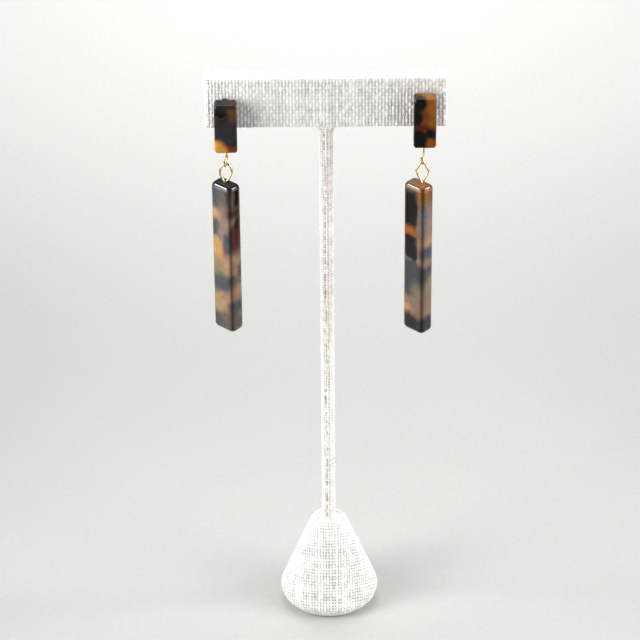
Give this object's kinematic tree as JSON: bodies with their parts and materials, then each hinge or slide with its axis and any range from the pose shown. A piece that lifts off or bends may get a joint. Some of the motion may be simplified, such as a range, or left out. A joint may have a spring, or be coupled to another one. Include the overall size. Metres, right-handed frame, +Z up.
{
  "type": "pair of bar drop earrings on a linen earring stand",
  "caption": "Tortoiseshell bar drop earrings, each a short stud bar with a long bar swinging below on linked wire eyes, hung as a pair on a linen-covered T stand with a weighted base.",
  "frame": {"origin": "centre of the base's underside, on the surface that the stand rests on", "axes": "+Z up along the stem, +X along the crossbar to the right as seen from the front, the earrings hang on the -Y side"},
  "size_m": [0.062, 0.0268, 0.166],
  "materials": {
    "linen": "matte",
    "iron_weight": "matte",
    "tortoiseshell_acetate": "polished",
    "gold_wire": "polished",
    "post_steel": "gloss"
  },
  "bodies": {
    "stand": {"base_weight": "iron_weight", "base_cover": "linen", "stem": "linen", "crossbar": "linen", "left_stud_bar": "tortoiseshell_acetate", "left_ear_post": "post_steel", "left_stud_eye": "gold_wire", "right_stud_bar": "tortoiseshell_acetate", "right_ear_post": "post_steel", "right_stud_eye": "gold_wire"},
    "left_drop": {"left_drop_eye": "gold_wire", "left_drop_bar": "tortoiseshell_acetate"},
    "right_drop": {"right_drop_eye": "gold_wire", "right_drop_bar": "tortoiseshell_acetate"}
  },
  "joints": [
    {"name": "left_drop_swing", "type": "hinge", "parent": "stand", "child": "left_drop", "pos_m": [-0.0259, -0.0051, 0.1426], "axis": [1, 0, 0], "range_deg": [-120, 115]},
    {"name": "right_drop_swing", "type": "hinge", "parent": "stand", "child": "right_drop", "pos_m": [0.0248, -0.0051, 0.1428], "axis": [1, 0, 0], "range_deg": [-120, 115]}
  ]
}
